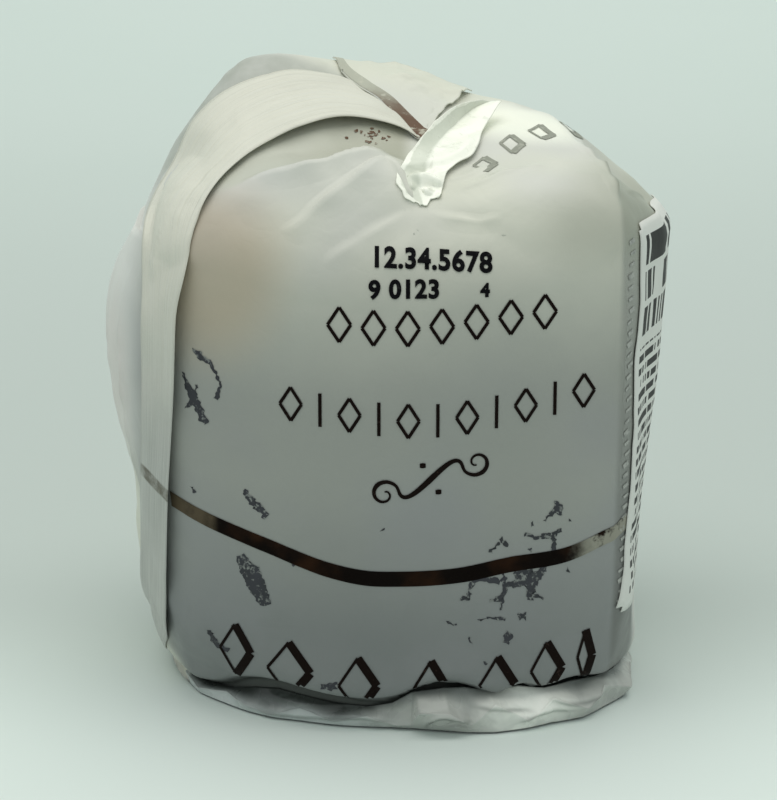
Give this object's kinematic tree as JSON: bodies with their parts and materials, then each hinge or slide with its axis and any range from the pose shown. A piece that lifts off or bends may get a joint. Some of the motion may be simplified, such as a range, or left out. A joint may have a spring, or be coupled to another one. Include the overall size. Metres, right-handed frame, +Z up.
{
  "type": "film-wrapped mini panettone",
  "caption": "Small dome-topped panettone in a paper baking cup, closed in a crumpled wrap of milky film with folded seals and a side label, standing on its base.",
  "frame": {"origin": "on the standing face, below the middle of the wrap's outline", "axes": "+Z up from the standing face, -Y towards the printed front, +X towards the labelled side"},
  "size_m": [0.0934, 0.081, 0.0975],
  "materials": {
    "baked_crust": "matte",
    "baking_paper": "matte",
    "milky_film": "satin",
    "label_paper": "satin"
  },
  "bodies": {
    "root": {"loaf": "baked_crust", "baking_cup_wall": "baking_paper", "baking_cup_base": "baking_paper", "film_wrapper": "milky_film", "ingredients_label": "label_paper"}
  },
  "joints": []
}
